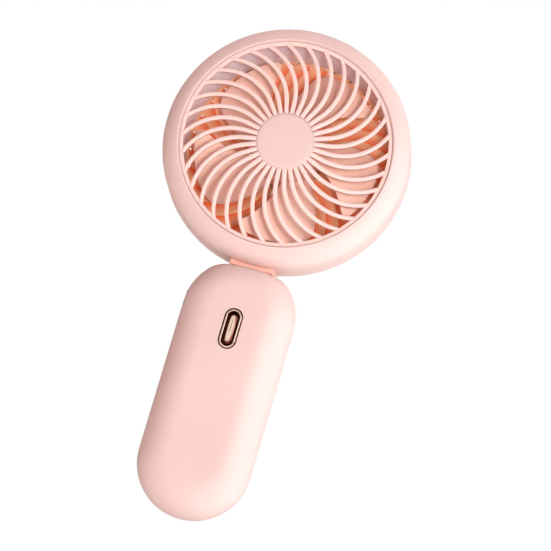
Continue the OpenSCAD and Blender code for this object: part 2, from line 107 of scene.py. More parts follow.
RIB_COUNT = 34
RIB_START = 8.87             # degrees from +X to the front grille's first rib
RIB_STRAIGHT_END = 17.0      # radius at which a rib starts to curve
RIB_ARC_R = 23.0
RIB_ARC_ANGLE = 70.5
RIB_WIDTH = 1.88
RIB_TAPER = 0.24             # how much narrower a rib is at the rim
RIB_DEPTH = 2.1
GRILLE_RIM_Y = -12.4
GRILLE_R = 42.7
GRILLE_INNER_R = 41.1
HUB_RIM_R = 11.9
REAR_RIB_WIDTH = 1.5
REAR_RIB_DEPTH = 2.0
REAR_RIB_LEAN = 4.4          # how far a rear rib leans sideways over its depth
REAR_SEAT_R = 14.0

BLADE_COUNT = 5
BLADE_MID_Y = 1.4
BLADE_ROOT_R = 12.9
CUP_R = 13.3
CUP_INNER_R = 12.02
CUP_FRONT = -5.0
CUP_FLOOR = -3.4

GRIP_EDGE_R = 13.0           # rounding of the handle's edge
GRIP_TOP_CUT = 3.7           # how much of the handle's round end its flat top takes off
GRIP_LINE = (GRIP_BOTTOM + GRIP_HALF_W, GRIP_TOP + GRIP_TOP_CUT - GRIP_HALF_W)   # ends of its middle line
TOP_SOFTNESS = 3.4           # width of the blend round the flat top
GRIP_SCREWS = ((-14.5, 43), (14.5, 43), (-15.5, -30), (15.5, -30))
BOARD_SCREW_X = 8
BOARD_SCREW_Z = 41
KNUCKLE_SPACE_R = 3.2
KNUCKLE_SPACE_HALF = 10.2
LEAD_SLOT_HALF = 2.2         # half the width of the slots for the leads at the neck
HINGE_SCREW_X = 5.5
BUTTON_HALF = 4.75           # half the length of the button's middle line
BUTTON_HOLE = (6.3, 15.9)    # width and length, as for the socket
SOCKET_HOLE = (3.56, 9.24)

SMOOTH_ANGLE = 38            # degrees between faces up to which an edge is shaded smooth


# ---------- mesh tools ----------

def make_object(name, verts, faces, smooth_angle=SMOOTH_ANGLE):
    """A mesh object from points in millimetres, shaded smooth up to an edge angle in degrees."""
    mesh = bpy.data.meshes.new(name)
    mesh.from_pydata([Vector(v) * MM for v in verts], [], faces)
    bm = bmesh.new()
    bm.from_mesh(mesh)
    bmesh.ops.remove_doubles(bm, verts=bm.verts, dist=1e-7)
    bmesh.ops.dissolve_degenerate(bm, dist=1e-8, edges=bm.edges)
    bmesh.ops.recalc_face_normals(bm, faces=bm.faces)
    bm.to_mesh(mesh)
    bm.free()
    obj = bpy.data.objects.new(name, mesh)
    bpy.context.scene.collection.objects.link(obj)
    shade(obj, smooth_angle)
    return obj


def shade(obj, smooth_angle=SMOOTH_ANGLE):
    """Smooth shading with sharp edges above an angle."""
    mesh = obj.data
    mesh.polygons.foreach_set("use_smooth", [True] * len(mesh.polygons))
    mesh.set_sharp_from_angle(angle=math.radians(smooth_angle))


def rounded(corners, steps=6):
    """A closed outline from (u, v, radius) corners, each rounded with an arc."""
    out = []
    count = len(corners)
    for i, (u, v, r) in enumerate(corners):
        here = Vector((u, v))
        if r <= 0:
            out.append((u, v))
            continue
        a = (Vector(corners[i - 1][:2]) - here).normalized()
        b = (Vector(corners[(i + 1) % count][:2]) - here).normalized()
        half = a.angle(b) / 2
        reach = r / math.tan(half)
        centre = here + (a + b).normalized() * (r / math.sin(half))
        p0 = here + a * reach - centre
        p1 = here + b * reach - centre
        turn = p0.angle_signed(p1)
        for k in range(steps + 1):
            out.append(tuple(centre + Matrix.Rotation(-turn * k / steps, 2) @ p0))
    return out


def arc(cu, cv, r, start, end, steps):
    """Points on a circle from start to end degrees."""
    angles = [math.radians(start + (end - start) * k / steps) for k in range(steps + 1)]
    return [(cu + r * math.cos(a), cv + r * math.sin(a)) for a in angles]


def swept(name, profile, stations, smooth_angle):
    """Sweeps a closed (distance, y) outline round a closed row of stations.

    A station is a place (x, z) and a direction (x, z), in which the outline's distance counts.
    """
    verts, faces = [], []
    n = len(profile)
    on_axis = [r < 1e-9 for r, _ in profile]
    for x, z, dx, dz in stations:
        verts += [(x + r * dx, y, z + r * dz) for r, y in profile]
    for k in range(len(stations)):
        a, b = k * n, (k + 1) % len(stations) * n
        for i in range(n):
            j = (i + 1) % n
            if not (on_axis[i] and on_axis[j]):
                faces.append((a + i, a + j, b + j, b + i))
    return make_object(name, verts, faces, smooth_angle)


def lathe(name, profile, x=0.0, z=HEAD_Z, turns=192, smooth_angle=SMOOTH_ANGLE):
    """Turns a closed (radius, y) outline about the Y axis through (x, z)."""
    angles = [2 * math.pi * k / turns for k in range(turns)]
    return swept(name, profile, [(x, z, math.cos(a), math.sin(a)) for a in angles], smooth_angle)


def pill_sweep(name, profile, half, z, steps=24, smooth_angle=SMOOTH_ANGLE):
    """Sweeps a closed (distance, y) outline round a pill whose middle line is 2 * half long."""
    straight = 10
    stations = []
    for side in (1, -1):
        for k in range(steps + 1):
            a = math.pi * k / steps
            stations.append((0.0, z + side * half, side * math.cos(a), side * math.sin(a)))
        for k in range(1, straight):
            stations.append((0.0, z + side * half * (1 - 2 * k / straight), -side, 0.0))
    return swept(name, profile, stations, smooth_angle)


def bar(path, normals, sections):
    """Points and faces of a bar with a closed (across, depth) section at each station of its path.

    path holds (x, y, z) points and normals the sideways direction in the XZ plane at each of them.
    A section's depth counts along +Y.
    """
    verts, faces = [], []
    for p, side, outline in zip(path, normals, sections):
        verts += [(p[0] + a * side[0], p[1] + d, p[2] + a * side[1]) for a, d in outline]
    n = len(sections[0])
    for k in range(len(path) - 1):
        for i in range(n):
            j = (i + 1) % n
            faces.append((k * n + i, k * n + j, (k + 1) * n + j, (k + 1) * n + i))
    last = (len(path) - 1) * n
    faces.append(tuple(range(n - 1, -1, -1)))
    faces.append(tuple(range(last, last + n)))
    return verts, faces


def join(name, objects, smooth_angle=SMOOTH_ANGLE):
    """Joins objects into one, named name."""
    bm = bmesh.new()
    for obj in objects:
        part = obj.data.copy()
        part.transform(obj.matrix_world)
        bm.from_mesh(part)
        bpy.data.meshes.remove(part)
    mesh = bpy.data.meshes.new(name)
    bm.to_mesh(mesh)
    bm.free()
    for obj in objects:
        bpy.data.objects.remove(obj)
    joined = bpy.data.objects.new(name, mesh)
    bpy.context.scene.collection.objects.link(joined)
    shade(joined, smooth_angle)
    return joined


def cut(obj, tools, smooth_angle=SMOOTH_ANGLE):
    """Cuts the tools' shapes out of obj and removes the tools."""
    for tool in tools:
        modifier = obj.modifiers.new("cut", "BOOLEAN")
        modifier.operation = "DIFFERENCE"
        modifier.solver = "EXACT"
        modifier.object = tool
    bpy.context.view_layer.update()
    depsgraph = bpy.context.evaluated_depsgraph_get()
    mesh = bpy.data.meshes.new_from_object(obj.evaluated_get(depsgraph))
    obj.modifiers.clear()
    obj.data = mesh
    for tool in tools:
        bpy.data.objects.remove(tool)
    shade(obj, smooth_angle)
    return obj


def box_tool(low, high):
    """A box from corner to corner, to cut with."""
    xs, ys, zs = zip(low, high)
    verts = [(x, y, z) for x in xs for y in ys for z in zs]
    faces = [(0, 1, 3, 2), (4, 6, 7, 5), (0, 4, 5, 1), (2, 3, 7, 6), (0, 2, 6, 4), (1, 5, 7, 3)]
    return make_object("tool", verts, faces)


def rod_tool(start, end, r, sides=48):
    """A cylinder between two points, to cut with."""
    a, b = Vector(start), Vector(end)
    turn = (b - a).to_track_quat("Z", "Y")
    ring = [Vector((r * math.cos(t), r * math.sin(t), 0))
            for t in (2 * math.pi * k / sides for k in range(sides))]
    verts = [tuple(a + turn @ p) for p in ring] + [tuple(b + turn @ p) for p in ring]
    faces = [(k, (k + 1) % sides, sides + (k + 1) % sides, sides + k) for k in range(sides)]
    faces += [tuple(range(sides - 1, -1, -1)), tuple(range(sides, 2 * sides))]
    return make_object("tool", verts, faces)


def slot_tool(width, length, y0, y1, z):
    """A pill-shaped prism along Y, to cut with."""
    r = width / 2
    return pill_sweep("tool", [(0, y0), (r, y0), (r, y1), (0, y1)], (length - width) / 2, z)


# ---------- materials ----------

def adder(tree):
    """A function that adds a node to a tree and sets its attributes or, by their names, its inputs."""
    def add(kind, **values):
        """Adds a node of a kind."""
        node = tree.nodes.new(kind)
        for key, value in values.items():
            if hasattr(node, key):
                setattr(node, key, value)
            else:
                node.inputs[key.replace("_", " ")].default_value = value
        return node

    return add


def new_material(name):
    """A node material and what it is built with: (material, add node, link, shader)."""
    material = bpy.data.materials.new(name)
    material.use_nodes = True
    tree = material.node_tree
    return material, adder(tree), tree.links.new, tree.nodes["Principled BSDF"]


def srgb(r, g, b):
    """A linear colour from 0-255 display values."""
    def channel(v):
        """One display value from 0 to 255, made linear."""
        v /= 255
        return v / 12.92 if v <= 0.04045 else ((v + 0.055) / 1.055) ** 2.4
    return (channel(r), channel(g), channel(b), 1.0)


def scaled(colour, factor):
    """A colour made lighter or darker."""
    return tuple(min(1.0, c * factor) for c in colour[:3]) + (1.0,)


def noise(add, link, coords, scale, detail=2.0, roughness=0.5):
    """A noise texture over the object's own coordinates; scale is per metre."""
    node = add("ShaderNodeTexNoise", Scale=scale, Detail=detail, Roughness=roughness)
    link(coords, node.inputs["Vector"])
    return node.outputs["Fac"]


def remap(add, link, value, low, high, start=0.3, end=0.7):
    """Maps a value's start..end to low..high."""
    node = add("ShaderNodeMapRange", From_Min=start, From_Max=end, To_Min=low, To_Max=high)
    link(value, node.inputs["Value"])
    return node.outputs["Result"]


def mix_colour(add, link, factor, a, b):
    """Blends two fixed colours by a factor."""
    node = add("ShaderNodeMix", data_type="RGBA")
    link(factor, node.inputs[0])
    node.inputs[6].default_value = a
    node.inputs[7].default_value = b
    return node.outputs[2]


def bump(add, link, height, shader, strength, distance):
    """Bumps the shader's surface by a height."""
    node = add("ShaderNodeBump", Strength=strength, Distance=distance)
    link(height, node.inputs["Height"])
    link(node.outputs["Normal"], shader.inputs["Normal"])


def plastic(name, colour, rough=0.42, grain=0.25, soft=0.12, coat=0.0, vary=0.03):
    """Moulded plastic: fine mould texture, faint flow mottling and slightly uneven gloss."""
    material, add, link, shader = new_material(name)
    coords = add("ShaderNodeTexCoord").outputs["Object"]
    mottle = noise(add, link, coords, 38.0, 3.0)
    tint = mix_colour(add, link, remap(add, link, mottle, 0.0, 1.0),
                      scaled(colour, 1 - vary), scaled(colour, 1 + vary * 0.6))
    link(tint, shader.inputs["Base Color"])
    cloud = noise(add, link, coords, 210.0, 4.0)
    link(remap(add, link, cloud, rough - 0.05, rough + 0.06), shader.inputs["Roughness"])
    fine = noise(add, link, coords, 5200.0, 2.0, 0.6)
    bump(add, link, fine, shader, grain, 0.00003)
    shader.inputs["Subsurface Weight"].default_value = soft
    shader.inputs["Subsurface Radius"].default_value = (1.0, 0.42, 0.30)
    shader.inputs["Subsurface Scale"].default_value = 0.003
    shader.inputs["IOR"].default_value = 1.49
    shader.inputs["Coat Weight"].default_value = coat
    shader.inputs["Coat Roughness"].default_value = 0.12
    return material


def metal(name, colour, rough=0.28, stretch=(1, 1, 1), marks=0.15, scale=700.0):
    """Metal with fine machining marks, stretched along the axis whose factor is smallest."""
    material, add, link, shader = new_material(name)
    coords = add("ShaderNodeTexCoord").outputs["Object"]
    mapping = add("ShaderNodeMapping")
    mapping.inputs["Scale"].default_value = stretch
    link(coords, mapping.inputs["Vector"])
    lines = noise(add, link, mapping.outputs["Vector"], scale, 3.0, 0.6)
    haze = noise(add, link, coords, 160.0, 3.0)
    tint = mix_colour(add, link, remap(add, link, haze, 0.0, 1.0), scaled(colour, 0.94), colour)
    link(tint, shader.inputs["Base Color"])
    link(remap(add, link, lines, rough * 0.75, rough * 1.3), shader.inputs["Roughness"])
    bump(add, link, lines, shader, marks, 0.00002)
    shader.inputs["Metallic"].default_value = 1.0
    return material


def striped(name, colour_a, colour_b, scale, direction="Y"):
    """Fine parallel lines across an axis: stacked sheets or wound wire."""
    material, add, link, shader = new_material(name)
    coords = add("ShaderNodeTexCoord").outputs["Object"]
    wave = add("ShaderNodeTexWave", bands_direction=direction, Scale=scale, Distortion=0.4)
    link(coords, wave.inputs["Vector"])
    link(mix_colour(add, link, wave.outputs["Fac"], colour_a, colour_b), shader.inputs["Base Color"])
    smudge = noise(add, link, coords, 300.0, 3.0)
    link(remap(add, link, smudge, 0.27, 0.45), shader.inputs["Roughness"])
    bump(add, link, wave.outputs["Fac"], shader, 0.6, 0.00006)
    shader.inputs["Metallic"].default_value = 1.0
    return material


def circuit_board(name, mask, trace):
    """Solder mask over a faint grid of copper traces."""
    material, add, link, shader = new_material(name)
    coords = add("ShaderNodeTexCoord").outputs["Object"]
    mapping = add("ShaderNodeMapping")
    mapping.inputs["Rotation"].default_value = (math.radians(90), 0, 0)
    link(coords, mapping.inputs["Vector"])
    brick = add("ShaderNodeTexBrick", Scale=260.0)
    brick.inputs["Mortar Size"].default_value = 0.05
    brick.inputs["Color1"].default_value = mask
    brick.inputs["Color2"].default_value = scaled(mask, 0.88)
    brick.inputs["Mortar"].default_value = trace
    link(mapping.outputs["Vector"], brick.inputs["Vector"])
    link(brick.outputs["Color"], shader.inputs["Base Color"])
    bump(add, link, brick.outputs["Fac"], shader, 0.3, 0.00004)
    dust = noise(add, link, coords, 900.0, 2.0)
    link(remap(add, link, dust, 0.22, 0.34), shader.inputs["Roughness"])
    return material


def foam(name, colour):
    """Closed-cell foam."""
    material, add, link, shader = new_material(name)
    coords = add("ShaderNodeTexCoord").outputs["Object"]
    cells = add("ShaderNodeTexVoronoi", Scale=2200.0)
    link(coords, cells.inputs["Vector"])
    link(mix_colour(add, link, cells.outputs["Distance"], colour, scaled(colour, 0.5)),
         shader.inputs["Base Color"])
    bump(add, link, cells.outputs["Distance"], shader, 0.8, 0.0002)
    shader.inputs["Roughness"].default_value = 0.9
    return material


def calc(material, operation, *sources):
    """A math node on sockets and numbers; its output."""
    node = material.node_tree.nodes.new("ShaderNodeMath")
    node.operation = operation
    for place, source in enumerate(sources):
        if isinstance(source, (int, float)):
            node.inputs[place].default_value = source
        else:
            material.node_tree.links.new(source, node.inputs[place])
    return node.outputs[0]


def place_of(material):
    """Sockets for the distance from the head's axis and for the depth along Y, in metres."""
    nodes, link = material.node_tree.nodes, material.node_tree.links.new
    split = nodes.new("ShaderNodeSeparateXYZ")
    link(nodes.new("ShaderNodeTexCoord").outputs["Object"], split.inputs[0])
    x = split.outputs["X"]
    up = calc(material, "SUBTRACT", split.outputs["Z"], HEAD_Z * MM)
    squares = calc(material, "ADD", calc(material, "MULTIPLY", x, x), calc(material, "MULTIPLY", up, up))
    return calc(material, "SQRT", squares), split.outputs["Y"]


def ramp(material, place, start, end):
    """A factor that rises from 0 to 1 between two places in millimetres."""
    tree = material.node_tree
    return remap(adder(tree), tree.links.new, place, 0.0, 1.0, start * MM, end * MM)


def repaint(material, factor, colour):
    """Blends the base colour towards another by a factor."""
    nodes, link = material.node_tree.nodes, material.node_tree.links.new
    base = nodes["Principled BSDF"].inputs["Base Color"]
    mix = nodes.new("ShaderNodeMix")
    mix.data_type = "RGBA"
    link(factor, mix.inputs[0])
    link(base.links[0].from_socket, mix.inputs[6])
    mix.inputs[7].default_value = colour
    link(mix.outputs[2], base)
    return material


def plastic_with_painted_duct_light(name, colour, painted_duct_light):
    """Moulded plastic with painted light: the wall of the air duct inside the head's ring is painted paler.
    """
    material = plastic(name, colour, rough=0.40, soft=0.14)
    radius, depth = place_of(material)
    inside = calc(material, "COMPARE", radius, (MOUTH_R - 0.9) * MM, 0.96 * MM)
    behind = calc(material, "GREATER_THAN", depth, (LEDGE_Y + 0.1) * MM)
    return repaint(material, calc(material, "MULTIPLY", inside, behind), painted_duct_light)


def backed(name, colour, painted_shade, outside):
    """Moulded plastic with painted shade, deeper in colour between its ribs, whose rear face has the
    casing's colour.
    """
    material = plastic(name, colour, rough=0.42, soft=0.1)
    depth = place_of(material)[1]
    repaint(material, ramp(material, depth, REAR_HI.y - 1.7, REAR_HI.y - 0.7), painted_shade)
    return repaint(material, calc(material, "GREATER_THAN", depth, (REAR_HI.y - 0.6) * MM), outside)


def plated(name, colour, painted_shade):
    """Polished plating with painted shade: dark with depth, below the top of the button's ring, where its
    groove and sides lie in shade.
    """
    material = metal(name, colour, rough=0.07, marks=0.02)
    depth = place_of(material)[1]
    return repaint(material, ramp(material, depth, -GRIP_HALF_T - 0.34, -GRIP_HALF_T - 0.16), painted_shade)


PINK = srgb(226, 195, 190)
MATERIALS = {
    # painted light: the pale lavender brightens the air duct's wall, which lies in shade
    "body_pink": plastic_with_painted_duct_light("satin_pink", PINK, srgb(250, 242, 252)),
    "grille_pink": plastic("grille_pink", srgb(242, 207, 200), rough=0.38, soft=0.14),
    # painted light: the orange stands in for light bounced about inside the head, and the deeper orange is
    # painted shade between the slats
    "rear_grille_pink": backed("rear_grille_pink", srgb(255, 186, 144), srgb(242, 108, 56), PINK),
    # painted light: the impeller is more saturated than the casing's plastic, for light bounced about
    # inside the head
    "impeller_salmon": plastic("impeller_salmon", srgb(255, 204, 186), rough=0.3, soft=0.1, coat=0.1),
    # painted shade: the neck's saddle is a deeper salmon than the casing, for the contact shade between
    # head and handle
    "saddle_salmon": plastic("saddle_salmon", srgb(238, 176, 158), rough=0.45),
    "cream_plastic": plastic("cream_plastic", srgb(253, 240, 230), rough=0.4),
    # the dark brown is painted shade in the groove round the button
    "rose_gold": plated("rose_gold", srgb(252, 226, 206), srgb(104, 50, 40)),
    "steel": metal("turned_steel", srgb(190, 190, 194), rough=0.26, stretch=(1, 0.1, 1)),
    "zinc_bracket": plastic("cream_coated_zinc", srgb(252, 240, 228), rough=0.36, grain=0.4, soft=0.0,
                            coat=0.2),
    "brass_turned": metal("turned_brass", srgb(214, 178, 106), rough=0.25, stretch=(1, 0.1, 1)),
    "can_steel": metal("drawn_steel", srgb(168, 170, 174), rough=0.3, stretch=(1, 0.05, 1)),
    "magnet_dark": metal("ground_ferrite", srgb(74, 74, 80), rough=0.5, marks=0.4, scale=1800),
    "lamination": striped("sheet_stack", srgb(120, 124, 130), srgb(70, 72, 78), 500.0),
    "copper_winding": striped("enamelled_wire", srgb(196, 112, 66), srgb(110, 52, 26), 700.0, "X"),
    "board_green": circuit_board("solder_mask", srgb(34, 104, 64), srgb(70, 142, 92)),
    "black_plastic": plastic("black_plastic", srgb(38, 38, 41), rough=0.5, soft=0.0, grain=0.5),
    "chip_ceramic": plastic("fired_ceramic", srgb(150, 120, 92), rough=0.35, soft=0.0, vary=0.08),
    "battery_wrap": plastic("shrink_film", srgb(84, 132, 186), rough=0.22, grain=0.1, soft=0.0, coat=0.4),
    "foam_dark": foam("closed_cell_foam", srgb(62, 62, 66)),
    "lead_red": plastic("red_insulation", srgb(190, 52, 44), rough=0.4, soft=0.05),
    "lead_black": plastic("black_insulation", srgb(34, 34, 37), rough=0.4, soft=0.0),
    "plunger_white": plastic("plunger_white", srgb(232, 226, 216), rough=0.45),
}
SLOT_OF = {part["node"]: part["material_slot"] for part in frame["record"]["subparts"]}
BODY_OF = {node: body for body, nodes in frame["record"]["behaviour"]["bodies"].items() for node in nodes}


def stand_for(obj, node):
    """obj takes the place, body and material slot of a CAD node."""
    slot = SLOT_OF[node]
    obj.data.materials.clear()
    obj.data.materials.append(MATERIALS[slot])
    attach(obj, BODY_OF[node])
    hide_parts(node)


# ---------- head ----------

def skin_arc(r, start, end, steps, front):
    """The rim's rounding at radius r, on the front or the back, between two angles."""
    sign = -1 if front else 1
    centre = (HEAD_R - HEAD_EDGE_R, HEAD_HALF_T - HEAD_EDGE_R)
    return [(u, sign * v) for u, v in arc(centre[0], centre[1], r, start, end, steps)]


def lip_angle(r, reach):
    """The angle on a rim rounding of radius r where it comes down to radius reach."""
    return math.degrees(math.acos((reach - (HEAD_R - HEAD_EDGE_R)) / r))


def front_profile():
    """Section of the front casing: rounded rim, lip, ledge, air duct and inner skin."""
    lip = lip_angle(HEAD_EDGE_R, MOUTH_R + LIP_R + 0.05)
    lip_y = skin_arc(HEAD_EDGE_R, lip, lip, 1, True)[0][1]
    outer = [(HEAD_R - 0.22, HEAD_SEAM), (HEAD_R - 0.06, HEAD_SEAM - 0.08), (HEAD_R, HEAD_SEAM - 0.3)]
    outer += skin_arc(HEAD_EDGE_R, 0, lip, 28, True)
    edge = [(u, -v) for u, v in arc(MOUTH_R + LIP_R, -lip_y - LIP_R, LIP_R, 95, 180, 6)]
    shelf_r, shelf_y = MOUTH_R - 0.22, GRILLE_RIM_Y + 0.5
    edge += [(MOUTH_R, shelf_y), (shelf_r, shelf_y)]
    ledge_r, ledge_back = MOUTH_R - LEDGE_WIDTH, LEDGE_Y + LEDGE_WIDTH
    ledge = rounded([(shelf_r, LEDGE_Y, 0.05), (ledge_r, LEDGE_Y, 0.2), (ledge_r, ledge_back, 0.2),
                     (MOUTH_R, ledge_back, 0.1)], 3)
    inner_r = HEAD_EDGE_R - WALL
    meet = lip_angle(inner_r, COLLAR_R)
    duct_r, duct_end = MOUTH_R - DUCT_DRAFT, HEAD_SEAM - 1
    duct = [(duct_r, duct_end - 0.1), (duct_r + 0.1, duct_end), (COLLAR_R, duct_end)]
    inside = skin_arc(inner_r, meet, 0, 16, True) + [(HEAD_R - WALL, HEAD_SEAM)]
    return outer + edge + ledge + duct + inside


def rear_profile():
    """Section of the rear casing: rounded rim, lip, ledge and the rest of the air duct."""
    lip = lip_angle(HEAD_EDGE_R, MOUTH_R + LIP_R + 0.05)
    lip_y = skin_arc(HEAD_EDGE_R, lip, lip, 1, False)[0][1]
    inner_r = HEAD_EDGE_R - WALL
    seam_in = math.degrees(math.asin((HEAD_SEAM - HEAD_HALF_T + HEAD_EDGE_R) / inner_r))
    seam_out = math.degrees(math.asin((HEAD_SEAM - HEAD_HALF_T + HEAD_EDGE_R + 0.3) / HEAD_EDGE_R))
    meet = lip_angle(inner_r, COLLAR_R)
    start_r = skin_arc(HEAD_EDGE_R, seam_out, seam_out, 1, False)[0][0]
    outer = [(start_r - 0.22, HEAD_SEAM), (start_r - 0.05, HEAD_SEAM + 0.1)]
    outer += skin_arc(HEAD_EDGE_R, seam_out, lip, 28, False)
    edge = arc(MOUTH_R + LIP_R, lip_y - LIP_R, LIP_R, 85, 180, 6)
    ledge_r, ledge_y = MOUTH_R - LEDGE_WIDTH, REAR_LO.y + 1.8
    ledge = [(MOUTH_R, ledge_y), (ledge_r + 0.1, ledge_y), (ledge_r, ledge_y - 0.1),
             (ledge_r, ledge_y - 1.3)]
    duct_r, duct_start = MOUTH_R - DUCT_DRAFT, HEAD_SEAM - 0.8
    duct = [(duct_r, duct_start + 0.1), (duct_r + 0.1, duct_start), (COLLAR_R, duct_start)]
    inside = skin_arc(inner_r, meet, seam_in, 12, False)
    return outer + edge + ledge + duct + inside


def knuckle_tool():
    """The space round the hinge's knuckles, which is cut from the head and from the handle."""
    half = KNUCKLE_SPACE_HALF
    return rod_tool((-half, HINGE_Y, HINGE_Z), (half, HINGE_Y, HINGE_Z), KNUCKLE_SPACE_R, 64)


def head_hinge_tools():
    """What the hinge and the leads need cleared from the head's casings."""
    return [
        knuckle_tool(),
        box_tool((-4.3, 5, GRIP_TOP), (4.3, 13, HEAD_Z - COLLAR_R - 0.8)),
        box_tool((-LEAD_SLOT_HALF, 3.2, GRIP_TOP), (LEAD_SLOT_HALF, 6.1, HEAD_Z - MOUTH_R + 0.6)),
    ]


def boss(x, z, outer, bore, counterbore, front, back, seat):
    """A screw boss along Y, with its bore and the wider bore for the screw's head."""
    profile = [(bore, front), (outer - 0.2, front), (outer, front + 0.2), (outer, back),
               (counterbore, back), (counterbore, seat), (bore, seat)]
    return lathe("boss", profile, x, z, 40)


def head_casings():
    """The front and rear casings of the head."""
    front = cut(lathe("head_front_casing", front_profile(), turns=224), head_hinge_tools())
    rear = lathe("head_rear_casing", rear_profile(), turns=224)
    spots = []
    for a in HEAD_SCREW_ANGLES:
        t = math.radians(a)
        spots.append((HEAD_SCREW_R * math.cos(t), HEAD_Z + HEAD_SCREW_R * math.sin(t)))
    tools = [rod_tool((x, 8, z), (x, 20, z), 1.7) for x, z in spots]
    cut(rear, tools + head_hinge_tools())
    bosses = [boss(x, z, outer=2.2, bore=1.0, counterbore=1.72, front=7.0, back=11.0, seat=9.4)
              for x, z in spots]
    rear = join("head_rear_casing", [rear] + bosses)
    stand_for(front, "head_front_shell")
    stand_for(rear, "head_rear_shell")


def dome_y(r):
    """Front face of the domed grille at radius r."""
    rise = GRILLE_RIM_Y - CAP_FRONT
    ball = (GRILLE_R ** 2 + rise ** 2) / (2 * rise)
    return CAP_FRONT + ball - math.sqrt(ball * ball - r * r)


def rib_line(inner_r, steps=22):
    """Middle line of one rib in the plane of the grille: points and sideways directions."""
    points, sides = [], []
    for k in range(4):
        points.append((inner_r + (RIB_STRAIGHT_END - inner_r) * k / 4, 0.0))
        sides.append((0.0, 1.0))
    end = math.radians(RIB_ARC_ANGLE)
    for k in range(steps + 1):
        a = end * k / steps
        points.append((RIB_STRAIGHT_END + RIB_ARC_R * math.sin(a), RIB_ARC_R * (1 - math.cos(a))))
        sides.append((-math.sin(a), math.cos(a)))
    return points, sides


def rib_section(width, depth):
    """Section of a rib: a soft crowned front, straight sides with draft, and a plain back."""
    w = width / 2
    soft = 0.55
    crown = [(-w, soft), (-w * 0.94, soft * 0.42), (-w * 0.74, soft * 0.1), (-w * 0.35, 0.0),
             (w * 0.35, 0.0), (w * 0.74, soft * 0.1), (w * 0.94, soft * 0.42), (w, soft)]
    back = [(w * 0.84, depth - 0.15), (w * 0.72, depth), (-w * 0.72, depth), (-w * 0.84, depth - 0.15)]
    return crown + back


def turned_ribs(inner_r, start, hand, depth_at, section_at):
    """One rib repeated round the head's axis from an angle on, curling with hand 1 or -1.

    depth_at and section_at give the place of its front and its section at a radius.
    """
    points, sides = rib_line(inner_r)
    radii = [math.hypot(u, v) for u, v in points]
    verts, faces = [], []
    for k in range(RIB_COUNT):
        a = math.radians(start + 360 * k / RIB_COUNT)
        c, s = math.cos(a), math.sin(a)
        path = [(u * c - hand * v * s, depth_at(r), HEAD_Z + u * s + hand * v * c)
                for (u, v), r in zip(points, radii)]
        normals = [(u * c - hand * v * s, u * s + hand * v * c) for u, v in sides]
        new_verts, new_faces = bar(path, normals, [section_at(r) for r in radii])
        faces += [tuple(i + len(verts) for i in face) for face in new_faces]
        verts += new_verts
    return make_object("ribs", verts, faces)


def front_grille():
    """The domed front grille: rim, ribs and the ring round the hub."""
    def section_at(r):
        """A rib's section at radius r, narrower towards the rim."""
        way_out = (r - HUB_RIM_R) / (GRILLE_R - HUB_RIM_R)
        return rib_section(RIB_WIDTH - RIB_TAPER * way_out, RIB_DEPTH)

    ribs = turned_ribs(HUB_RIM_R - 0.4, RIB_START, 1, dome_y, section_at)
    rim = lathe("rim", rounded([
        (GRILLE_INNER_R, GRILLE_RIM_Y, 0.5), (GRILLE_R, GRILLE_RIM_Y, 0.35),
        (GRILLE_R, LEDGE_Y - 0.2, 0.15), (GRILLE_INNER_R, LEDGE_Y - 0.2, 0.3)], 6))
    ring = lathe("ring", rounded([
        (HUB_RIM_R - 0.4, CAP_FRONT + 0.3, 0.1), (HUB_RIM_R, CAP_FRONT + 0.3, 0.28),
        (HUB_RIM_R, CAP_FRONT + 2.8, 0.15), (HUB_RIM_R - 0.4, CAP_FRONT + 2.8, 0.1)], 5))
    plate = lathe("plate", [(0, CAP_FRONT + 1.6), (HUB_RIM_R - 0.3, CAP_FRONT + 1.6),
                            (HUB_RIM_R - 0.3, CAP_FRONT + 2.7), (0, CAP_FRONT + 2.7)])
    stand_for(join("front_grille_ribs", [ribs, rim, ring, plate]), "front_grille")


def hub_cap():
    """The hub's cap: a faintly crowned disc with a soft edge."""
    r = HUB_RIM_R - 0.46
    crown = [(r * k / 12, CAP_FRONT + 0.14 * (k / 12) ** 2) for k in range(11)]
    edge = [(r - 0.5, CAP_FRONT + 0.15), (r - 0.2, CAP_FRONT + 0.24), (r - 0.05, CAP_FRONT + 0.4),
            (r, CAP_FRONT + 0.62)]
    back = [(r, CAP_FRONT + 1.6), (0, CAP_FRONT + 1.6)]
    stand_for(lathe("hub_cap_disc", crown + edge + back, turns=128), "grille_hub_cap")


def leaning_section(width, y0, y1, lean):
    """Section of a rear rib: a slat that leans sideways towards the back, with rounded edges."""
    w = width / 2
    soft = 0.3
    half = lean / 2
    front = [(-half - w + soft, y0), (-half + w - soft, y0), (-half + w, y0 + soft)]
    back = [(half + w, y1 - soft * 2), (half + w - soft * 0.4, y1 - soft * 0.5), (half + w - soft, y1),
            (half - w + soft, y1), (half - w, y1 - soft)]
    side = [(-half - w, y0 + soft * 2), (-half - w + soft * 0.4, y0 + soft * 0.5)]
    return front + back + side


